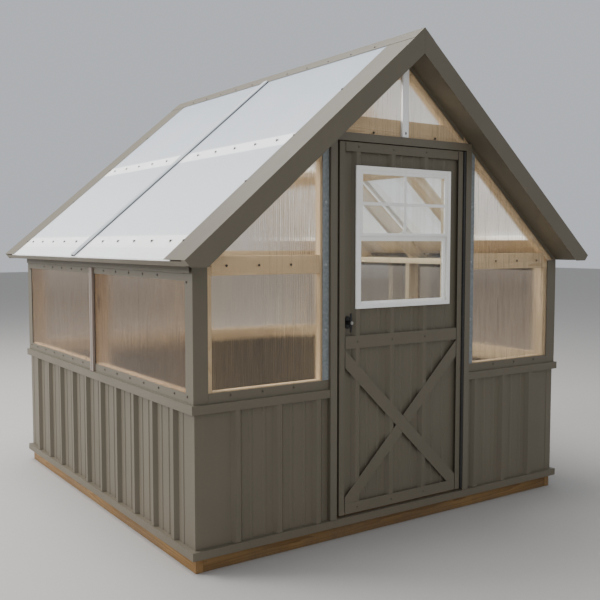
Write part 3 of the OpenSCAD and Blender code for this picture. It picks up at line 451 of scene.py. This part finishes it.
def set_screws(name, seat, starts, aim, head_finish, washer_finish, size=1.0, body="house"):
    """Hexagon-head screws with washers, each seated where a line from its start meets a node."""
    mesh = frame["nodes"][seat].data
    corners = [vert.co for vert in mesh.vertices]
    ground = BVHTree.FromPolygons(corners, [list(polygon.vertices) for polygon in mesh.polygons])
    bm = bmesh.new()
    for start in starts:
        spot, normal, _, _ = ground.ray_cast(Vector(start), Vector(aim), RAY_REACH)
        if spot is None:
            raise ValueError(name + " has no seat at " + str(start))
        if normal.dot(Vector(aim)) > 0:
            normal = -normal
        upright = normal.to_track_quat("Z", "Y").to_matrix().to_4x4()
        for finish, (sides, foot, top, low_z, high_z) in ((1, WASHER), (0, HEXAGON)):
            middle = Matrix.Translation(spot + normal * size * (low_z + high_z) / 2)
            part = bmesh.ops.create_cone(bm, cap_ends=True, segments=sides, radius1=foot * size,
                                         radius2=top * size, depth=(high_z - low_z) * size,
                                         matrix=middle @ upright)
            for face in {face for vert in part["verts"] for face in vert.link_faces}:
                face.material_index = finish
    piece = make_piece(name, bm, head_finish, body)
    piece.data.materials.append(washer_finish)


dark_screw = screw_finish("dark_screw", paint(60, 56, 50), paint(96, 88, 78), 0.3)
painted_screw = screw_finish("painted_screw", paint(84, 78, 66), paint(112, 104, 90), 0.2)
zinc_screw = screw_finish("zinc_screw", paint(196, 198, 198), paint(150, 150, 146), 0.8)

for side, label in name_of_side.items():
    wall = side * (HALF_PLAN + RAY_START)
    sill_row = [(wall, place, SILL_SCREW_Z) for place in OFF_JOINT]
    set_screws("sill_screws_" + label, "sill_trims", sill_row, (-side, 0, 0),
               dark_screw, painted_screw, TRIM_SCREW)
    corners = [(wall, end * (HALF_PLAN - CORNER_SCREW_IN), z) for end in (-1, 1) for z in CORNER_SCREW_Z]
    set_screws("corner_screws_" + label, "high_corner_trims", corners, (-side, 0, 0),
               dark_screw, painted_screw, TRIM_SCREW)
set_screws("sill_screws_front", "sill_trims", [(place, front_wall, SILL_SCREW_Z) for place in FRONT_ROW],
           (0, 1, 0), dark_screw, painted_screw, TRIM_SCREW)
set_screws("sill_screws_back", "sill_trims", [(place, -front_wall, SILL_SCREW_Z) for place in OFF_JOINT],
           (0, -1, 0), dark_screw, painted_screw, TRIM_SCREW)

# Twin-wall glazing: clear fluted polycarbonate 8 mm thick, screwed to the girts. The webs run
# up the walls, blur what is behind them and catch the light as fine lines.
WEB_PITCH = 0.0105
DAYLIGHT_THROUGH = 0.92
TAPE_HALF = 0.027
TAPE_FADE = 0.005
GIRT_SCREW_Z = 1.394
GABLE_SCREW_Z = 2.052

flutes, given, result = new_effect(
    "fine_flutes",
    [("Across", "Float"), ("Pitch", "Float")],
    [("Webs", "Float"), ("Ripple", "Float")],
)
turns = calc(flutes, "DIVIDE", given["Across"], given["Pitch"])
webs = spread(flutes, calc(flutes, "PINGPONG", turns, 0.5), 0.09, 0.03)
ripple = calc(flutes, "SINE", calc(flutes, "MULTIPLY", turns, math.tau))
feed(flutes, result, {"Webs": webs, "Ripple": ripple})


def over_tape(tree, height, tape_z):
    """A mask over one purlin's tape, by the height on the sheet."""
    away = calc(tree, "ABSOLUTE", calc(tree, "SUBTRACT", height, tape_z))
    return spread(tree, away, TAPE_HALF + TAPE_FADE, TAPE_HALF)


def roof_with_painted_light(tree, height, tint, pale):
    """The roof sheets' tint with painted light: paler down the slope, and pale over the tape and past the
    lowest purlin.
    """
    # Painted light: a paler sheen down the slope, and pale bands over the tape and past the eave purlin.
    painted_sheen_down_slope = spread(tree, height, 2.5, 1.45, 0.0, 0.6)
    painted_tape_bands = calc(tree, "MAXIMUM", over_tape(tree, height, MID_TAPE_Z), over_tape(tree, height, EAVE_TAPE_Z))
    painted_past_eave = spread(tree, height, EAVE_TAPE_Z, EAVE_TAPE_Z - 0.01, 0.0, 0.6)
    painted_bands = calc(tree, "MULTIPLY", calc(tree, "MAXIMUM", painted_tape_bands, painted_past_eave), 0.95)
    return blend_colours(tree, painted_bands, blend_colours(tree, painted_sheen_down_slope, tint, pale), pale)


def twin_wall_finish(name, across_axis, tint, clear, rough, bend, ripples, pale=None, painted_glow=0.0):
    """Fluted clear plastic: what lies behind is blurred across the flutes but not along them."""
    material, tree, shader, place = new_finish(name)
    parts = add(tree, "ShaderNodeSeparateXYZ", {0: place}).outputs
    web = use_effect(tree, flutes, {"Across": parts[across_axis], "Pitch": WEB_PITCH})
    worn = weathered(tree, place)
    look = roof_with_painted_light(tree, parts[2], tint, pale) if pale else tint
    look = blend_colours(tree, calc(tree, "MULTIPLY", web["Webs"], 0.15), look, paint(244, 242, 238))
    film = spread(tree, worn["Mottle"], 0.4, 0.75, 0.0, 0.15)
    streaks_per_metre = [3.0, 3.0, 3.0]
    streaks_per_metre[across_axis] = 900.0
    drawn = mottle(tree, stretched(tree, place, tuple(streaks_per_metre)), 1.0, 0.0)
    relief = calc(tree, "MULTIPLY_ADD", drawn, 3.0, web["Ripple"])
    in_shadow = add(tree, "ShaderNodeLightPath").outputs["Is Shadow Ray"]
    feed(tree, shader, {
        "Base Color": blend_colours(tree, film, look, paint(214, 202, 186)),
        "Normal": bump(tree, relief, 1.0, ripples),
        "Roughness": spread(tree, worn["Mottle"], 0.3, 0.7, rough - 0.02, rough + 0.03),
        "Alpha": calc(tree, "MULTIPLY_ADD", in_shadow, -DAYLIGHT_THROUGH, 1.0),
        "Transmission Weight": clear,
        "IOR": bend,
        "Specular IOR Level": 0.5,
    })
    # Painted glow: the undersides emit a pale light, standing in for daylight passing through the sheets.
    if painted_glow:
        facing = add(tree, "ShaderNodeTexCoord").outputs["Normal"]
        under = spread(tree, add(tree, "ShaderNodeSeparateXYZ", {0: facing}).outputs[2], -0.3, -0.6)
        daylight = blend_colours(tree, under, paint(0, 0, 0), paint(240, 245, 250))
        feed(tree, shader, {"Emission Color": daylight, "Emission Strength": painted_glow})
    return material


side_glazing = twin_wall_finish("twin_wall_sides", 1, paint(208, 193, 178), clear=0.96, rough=0.03,
                                bend=1.14, ripples=0.0001)
keep_cad_mesh(["side_sheets"], side_glazing)
end_glazing = twin_wall_finish("twin_wall_ends", 0, paint(252, 245, 236), clear=0.97, rough=0.05,
                               bend=1.14, ripples=0.0003)
keep_cad_mesh(["back_sheets", "front_sheets", "gable_sheets"], end_glazing)
for side, label in name_of_side.items():
    starts = [(side * place, front_wall, GIRT_SCREW_Z) for place in (1.056, 0.883, 0.705)]
    set_screws("girt_screws_" + label, "front_sheets", starts, (0, 1, 0),
               dark_screw, dark_screw, GIRT_SCREW)
starts = [(place, front_wall, GABLE_SCREW_Z) for place in (-0.202, 0.220)]
set_screws("gable_screws", "gable_sheets", starts, (0, 1, 0), dark_screw, painted_screw, TRIM_SCREW)

# Roof glazing: two sheets a side of the same stuff, with the flutes down the slope. They are painted
# whiter than the walls as painted light: paler down the slope and over the tape, with a painted glow
# under them. They are screwed through the tape into two rows of purlins.
PITCH = math.radians(40.5)
LIFT = 0.05
ROOF_ROW = [side * place for side in (-1, 1) for place in (0.208, 0.420, 0.630, 0.840, 1.045)]
PURLIN_ROWS = ((1.241, EAVE_TAPE_Z), (0.663, MID_TAPE_Z))


def into_roof(side):
    """The way square into one side of the roof."""
    return (-side * math.sin(PITCH), 0, -math.cos(PITCH))


def over_roof(side, x, y, z):
    """A point lifted square off a spot on one side of the roof."""
    down = into_roof(side)
    return (side * x - down[0] * LIFT, y, z - down[2] * LIFT)


roof_glazing = twin_wall_finish("twin_wall_roof", 1, paint(182, 190, 200), clear=0.2, rough=0.24,
                                bend=1.3, ripples=0.0001, pale=paint(254, 254, 252), painted_glow=0.42)
keep_cad_mesh(["roof_sheets_left", "roof_sheets_right"], roof_glazing)
for side, label in name_of_side.items():
    starts = [over_roof(side, x, y, z) for x, z in PURLIN_ROWS for y in ROOF_ROW]
    set_screws("roof_screws_" + label, "roof_sheets_" + label, starts, into_roof(side),
               dark_screw, zinc_screw)

# Joint channels: H-shaped extrusions of white plastic that hold the sheets edge to edge, each
# with a hollow cap outside. A dark line of painted shade runs along the roof caps' feet, and the
# wall caps' grooves are painted a little darker.
ROOF_FACE = 1.949
FOOT_LINE = 0.0080
GROOVE_HALF = 0.0056
DARK_LINE_FADE = 0.0010
SIDE_WALLS_FROM = 1.0


def channel_finish(name, colour, side_colour, dirt, on_roof):
    """White channel plastic with a trace of dirt, a painted shade line along the roof caps' feet and darker
    wall cap grooves; on the side walls it has its own colour.
    """
    material, tree, shader, place = new_finish(name)
    worn = weathered(tree, place)
    parts = add(tree, "ShaderNodeSeparateXYZ", {0: place}).outputs
    out = calc(tree, "ABSOLUTE", parts[0])
    look = blend_colours(tree, calc(tree, "GREATER_THAN", out, SIDE_WALLS_FROM), colour, side_colour)
    # Painted shade: a dark line along the roof caps' feet; on the walls the grooves are painted darker.
    if on_roof:
        slope_x = calc(tree, "MULTIPLY", out, math.sin(PITCH))
        rise = calc(tree, "MULTIPLY_ADD", parts[2], math.cos(PITCH), slope_x)
        held = spread(tree, rise, ROOF_FACE + FOOT_LINE + DARK_LINE_FADE, ROOF_FACE + FOOT_LINE)
    else:
        held = spread(tree, calc(tree, "ABSOLUTE", parts[1]), GROOVE_HALF + DARK_LINE_FADE, GROOVE_HALF)
    facing = add(tree, "ShaderNodeTexCoord").outputs["Normal"]
    outer = spread(tree, add(tree, "ShaderNodeSeparateXYZ", {0: facing}).outputs[2], -0.3, -0.1)
    look = blend_colours(tree, calc(tree, "MULTIPLY", outer, held), look, dirt)
    feed(tree, shader, {
        "Base Color": blend_colours(tree, spread(tree, worn["Mottle"], 0.4, 0.75, 0.0, 0.12), look, dirt),
        "Roughness": spread(tree, worn["Mottle"], 0.3, 0.7, 0.30, 0.45),
        "Normal": bump(tree, mottle(tree, place, 600.0, 2.0), 0.15, 0.0004),
    })
    return material


wall_channel_plastic = channel_finish("wall_channel_plastic", paint(252, 252, 250), paint(152, 138, 128),
                                      paint(140, 128, 118), on_roof=False)
keep_cad_mesh(["wall_channels"], wall_channel_plastic)
# The roof caps' dark colour serves as their dirt and as the painted shade line along their feet.
roof_channel_plastic = channel_finish("roof_channel_plastic", paint(206, 210, 214), paint(206, 210, 214),
                                      paint(58, 60, 64), on_roof=True)
keep_cad_mesh(["roof_channels"], roof_channel_plastic)
set_screws("channel_screw", "wall_channels", [(0.0, front_wall, 2.062)], (0, 1, 0),
           dark_screw, dark_screw, FACE_SCREW)

# Roof edge: rake trims over the fly rafters with soffits under them, eave trims and ridge cap,
# all brake-folded from the painted sheet and screwed along their length.
RAKE_SPOTS = ((1.240, 1.506), (0.919, 1.780), (0.649, 2.011), (0.360, 2.258))
RAKE_SCREW_Y = 1.172
RIDGE_SPOT = (0.046, 2.527)
FRIEZE_SCREW_Z = 1.345
keep_cad_mesh(["rake_trims", "rake_soffits", "ridge_cap", "eave_trims"], painted_steel)
for side, label in name_of_side.items():
    starts = [over_roof(side, x, end * RAKE_SCREW_Y, z) for end in (-1, 1) for x, z in RAKE_SPOTS]
    set_screws("rake_screws_" + label, "rake_trims", starts, into_roof(side),
               dark_screw, dark_screw, FACE_SCREW)
    starts = [over_roof(side, RIDGE_SPOT[0], y, RIDGE_SPOT[1]) for y in ROOF_ROW]
    set_screws("ridge_screws_" + label, "ridge_cap", starts, into_roof(side),
               dark_screw, painted_screw, TRIM_SCREW)
    wall = side * (HALF_PLAN + RAY_START)
    starts = [(wall, place, FRIEZE_SCREW_Z) for place in OFF_JOINT[1:-1]]
    set_screws("frieze_screws_" + label, "eave_trims", starts, (-side, 0, 0),
               dark_screw, painted_screw, TRIM_SCREW)

# Door surround: a timber jamb and stop nailed round the opening, a black foam seal on the stop,
# and painted steel covers outside, with galvanised flashings beside them.
HEAD_STOP_TOP = 1.9995
HEAD_JAMB_FOOT = 2.0010
HEAD_STOP_ZONE = 0.010
HAIR = 0.0001
COVER_EDGE_X = 0.4828
FLASHING_FACE_Y = -1.2320
FLASHING_FOOT_Z = 0.820
FLASHING_SCREW_X = 0.502
set_boards(["door_jambs", "door_stops"], frame_timber)
for vert in bpy.data.objects["door_stops_timber"].data.vertices:
    if vert.co.z > HEAD_STOP_TOP - HEAD_STOP_ZONE:
        # The head stop is nailed up tight under the head jamb, so no daylight shows over the door.
        vert.co.z += HEAD_JAMB_FOOT - HEAD_STOP_TOP - HAIR


def jamb_finish(name):
    """The painted covers, with the flat flashings beside them left in bare galvanised steel."""
    material, tree, shader, place = new_finish(name)
    worn = weathered(tree, place, STEEL_SPLASH)
    parts = add(tree, "ShaderNodeSeparateXYZ", {0: place}).outputs
    beside = calc(tree, "GREATER_THAN", calc(tree, "ABSOLUTE", parts[0]), COVER_EDGE_X)
    against_wall = calc(tree, "GREATER_THAN", parts[1], FLASHING_FACE_Y)
    over_sill = calc(tree, "GREATER_THAN", parts[2], FLASHING_FOOT_Z)
    bare = calc(tree, "MULTIPLY", calc(tree, "MULTIPLY", beside, against_wall), over_sill)
    spangle = add(tree, "ShaderNodeTexVoronoi", {"Vector": place, "Scale": 90.0}).outputs["Color"]
    tones = add(tree, "ShaderNodeSeparateColor", {0: spangle}).outputs[0]
    zinc = blend_colours(tree, tones, paint(116, 121, 122), paint(136, 141, 142))
    uneven = spread(tree, worn["Mottle"], 0.35, 0.7, 0.0, 0.6)
    painted = blend_colours(tree, uneven, TAUPE, paint(102, 96, 82))
    feed(tree, shader, {
        "Base Color": blend_colours(tree, bare, painted, zinc),
        "Roughness": spread(tree, worn["Mottle"], 0.3, 0.7, 0.37, 0.49),
        "Normal": bump(tree, mottle(tree, place, 6.0, 1.0), 0.16, 0.004),
    })
    return material


def rubber_finish(name):
    """Black foam strip with a fine open texture."""
    material, tree, shader, place = new_finish(name)
    cells = add(tree, "ShaderNodeTexVoronoi", {"Vector": place, "Scale": 900.0}).outputs["Distance"]
    open_cells = spread(tree, cells, 0.2, 0.7)
    feed(tree, shader, {
        "Base Color": blend_colours(tree, open_cells, paint(16, 16, 16), paint(40, 39, 37)),
        "Normal": bump(tree, cells, 0.5, 0.0004),
        "Roughness": 0.85,
    })
    return material


def set_mouldings(nodes, material, ease):
    """Extruded, moulded or cast nodes with softened edges."""
    for node in nodes:
        bm = eased_copy(node, ease)
        make_piece(node + "_moulding", bm, material, body_of_node(node), [node])


keep_cad_mesh(["jamb_trims"], jamb_finish("jamb_steel"))
starts = [(side * FLASHING_SCREW_X, front_wall, z) for side in (-1, 1) for z in (1.070, 1.391, 1.695)]
set_screws("flashing_screws", "jamb_trims", starts, (0, 1, 0), zinc_screw, zinc_screw, FACE_SCREW)
set_mouldings(["door_seal"], rubber_finish("foam_seal"), 0.0008)

# Door leaf: a timber core with a ribbed steel skin, folded edge trims, flat rails and crossed
# braces laid over the ribs, with a screw through each rail at each rib.
SKIN_FOLD = 0.0015
EDGE_TO_RIB = 0.118
RIB_PITCH = 0.2286
LOW_RAIL_SCREW = 0.028
MID_RAIL_SCREW_Z = 0.998
TOP_RAIL_SCREW = 0.022
set_boards(["door_core"], frame_timber)
keep_cad_mesh(["door_skin", "door_edge_trims", "door_rails", "door_braces"], painted_steel)
first_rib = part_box("door_skin")[0][0] - SKIN_FOLD + EDGE_TO_RIB
ribs = [first_rib + RIB_PITCH * n for n in range(3)]
rails_low, rails_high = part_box("door_rails")
rail_heights = (rails_low[2] + LOW_RAIL_SCREW, MID_RAIL_SCREW_Z, rails_high[2] - TOP_RAIL_SCREW)
starts = [(rib, front_wall, z) for rib in ribs for z in rail_heights]
set_screws("door_rail_screws", "door_rails", starts, (0, 1, 0), painted_screw, painted_screw,
           RAIL_SCREW, body="door")

# Window: a white vinyl single-hung unit. The upper sash is fixed and has crossed bars, the
# lower one slides up behind it and carries the lock, and both hold float glass.


def moulded_finish(name, colour, dirt, rough):
    """Extruded vinyl, or the lock's die-cast metal, with a trace of dirt."""
    material, tree, shader, place = new_finish(name)
    worn = weathered(tree, place)
    look = blend_colours(tree, spread(tree, worn["Mottle"], 0.4, 0.75, 0.0, 0.3), colour, dirt)
    for mask, share in (("Runs", 0.15), ("Specks", 0.2)):
        look = blend_colours(tree, calc(tree, "MULTIPLY", worn[mask], share), look, dirt)
    feed(tree, shader, {
        "Base Color": look,
        "Roughness": spread(tree, worn["Mottle"], 0.3, 0.7, rough - 0.06, rough + 0.1),
        "Normal": bump(tree, mottle(tree, place, 600.0, 2.0), 0.15, 0.0004),
    })
    return material


def clear_glass_finish(name):
    """Float glass with a faint film of dust that daylight passes through."""
    material, tree, shader, place = new_finish(name)
    worn = weathered(tree, place)
    film = calc(tree, "MULTIPLY", worn["Runs"], 0.35)
    in_shadow = add(tree, "ShaderNodeLightPath").outputs["Is Shadow Ray"]
    feed(tree, shader, {
        "Base Color": blend_colours(tree, film, paint(246, 250, 248), paint(214, 212, 204)),
        "Roughness": spread(tree, worn["Runs"], 0.0, 1.0, 0.01, 0.06),
        "Alpha": calc(tree, "MULTIPLY_ADD", in_shadow, -0.75, 0.85),
        "Transmission Weight": 1.0,
        "IOR": 1.45,
    })
    return material


white_vinyl = moulded_finish("white_vinyl", paint(253, 253, 249), paint(226, 220, 208), 0.3)
set_mouldings(["window_frame", "upper_sash", "lower_sash"], white_vinyl, 0.0012)
set_mouldings(["glazing_bars"], white_vinyl, 0.0006)
lock_metal = moulded_finish("lock_metal", paint(120, 118, 114), paint(84, 82, 78), 0.34)
set_mouldings(["sash_lock"], lock_metal, 0.0006)
keep_cad_mesh(["upper_glass", "lower_glass"], clear_glass_finish("clear_glass"))

# Hinge, handle and latch: black-coated steel. The long hinge fills the right-hand gap; the
# T-handle turns the latch arm behind the jamb, and a nickel key cylinder sits in its hub.
HUB_DEPTH = 0.002
KEY_STEPS = ((0.0085, -0.0016, 0.0010), (0.0060, -0.0026, 0.0), (0.0045, -0.0030, 0.0))
KEY_TAPER = 0.94


def black_coat_finish(name):
    """Powder-coated black steel, rubbed a little in broad patches."""
    material, tree, shader, place = new_finish(name)
    worn = weathered(tree, place)
    rubbed = spread(tree, worn["Mottle"], 0.4, 0.8)
    look = blend_colours(tree, rubbed, paint(20, 20, 20), paint(46, 45, 43))
    specks_shown = calc(tree, "MULTIPLY", worn["Specks"], 0.5)
    feed(tree, shader, {
        "Base Color": blend_colours(tree, specks_shown, look, paint(110, 104, 96)),
        "Roughness": spread(tree, worn["Mottle"], 0.3, 0.7, 0.34, 0.5),
        "Normal": bump(tree, mottle(tree, place, 1400.0, 2.0), 0.3, 0.0003),
    })
    return material


black_coat = black_coat_finish("black_coat")
set_mouldings(["handle_plate", "handle", "latch_arm"], black_coat, 0.0005)
set_mouldings(["hinge_frame_leaf", "hinge_door_leaf", "hinge_pin"], black_coat, 0.0003)

handle_points = [vert.co for vert in frame["nodes"]["handle"].data.vertices]
hub_y = min(point.y for point in handle_points)
hub_face = [point for point in handle_points if point.y < hub_y + HUB_DEPTH]
hub_x = (min(point.x for point in hub_face) + max(point.x for point in hub_face)) / 2
hub_z = (min(point.z for point in hub_face) + max(point.z for point in hub_face)) / 2
facing_out = Matrix.Rotation(math.radians(90), 4, "X")
cylinder = bmesh.new()
for step_radius, outer_y, inner_y in KEY_STEPS:
    middle = Matrix.Translation(Vector((hub_x, hub_y + (outer_y + inner_y) / 2, hub_z)))
    bmesh.ops.create_cone(cylinder, cap_ends=True, segments=32, radius1=step_radius,
                          radius2=step_radius * KEY_TAPER, depth=inner_y - outer_y,
                          matrix=middle @ facing_out)
nickel = screw_finish("nickel", paint(190, 190, 186), paint(150, 148, 142), 0.9)
make_piece("handle_key_cylinder", cylinder, nickel, "handle")

# Studio: a pale floor, soft sky light from the left and above, and the camera at the
# photograph's viewing angle.
floor_bm = bmesh.new()
bmesh.ops.create_grid(floor_bm, x_segments=1, y_segments=1, size=40.0)
floor_mesh = bpy.data.meshes.new("studio_floor")
floor_bm.to_mesh(floor_mesh)
floor_bm.free()
floor = bpy.data.objects.new("studio_floor", floor_mesh)
bpy.context.scene.collection.objects.link(floor)
floor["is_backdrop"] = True
floor_finish, tree, shader, _ = new_finish("pale_floor")
feed(tree, shader, {"Base Color": paint(176, 172, 167), "Roughness": 0.9})
floor_mesh.materials.append(floor_finish)

world = bpy.data.worlds.new("studio_sky")
bpy.context.scene.world = world
world.use_nodes = True
backdrop = world.node_tree.nodes["Background"]
backdrop.inputs["Color"].default_value = (0.80, 0.84, 0.90, 1.0)
backdrop.inputs["Strength"].default_value = 0.68


def soft_light(name, place, power, width):
    """A large square light that faces the middle of the greenhouse."""
    lamp = bpy.data.lights.new(name, "AREA")
    lamp.energy = power
    lamp.size = width
    holder = bpy.data.objects.new(name, lamp)
    holder.location = place
    to_middle = Vector((0.0, 0.0, 1.0)) - Vector(place)
    holder.rotation_euler = to_middle.to_track_quat("-Z", "Y").to_euler()
    bpy.context.scene.collection.objects.link(holder)


soft_light("left_sky", (-7.2, 5.0, 4.6), 760.0, 4.0)
soft_light("top_sky", (-1.5, 1.5, 8.0), 780.0, 6.0)
soft_light("front_fill", (-1.5, -8.0, 3.0), 60.0, 5.0)

lens = bpy.data.cameras.new("photo_camera")
lens.lens = 49.32
lens.sensor_width = 36.0
lens.clip_end = 200.0
camera = bpy.data.objects.new("photo_camera", lens)
camera.location = (-2.8826, -4.4753, 1.4918)
camera.rotation_euler = tuple(math.radians(a) for a in (86.10, 0.0, -34.46))
bpy.context.scene.collection.objects.link(camera)
bpy.context.scene.camera = camera

low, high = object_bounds()
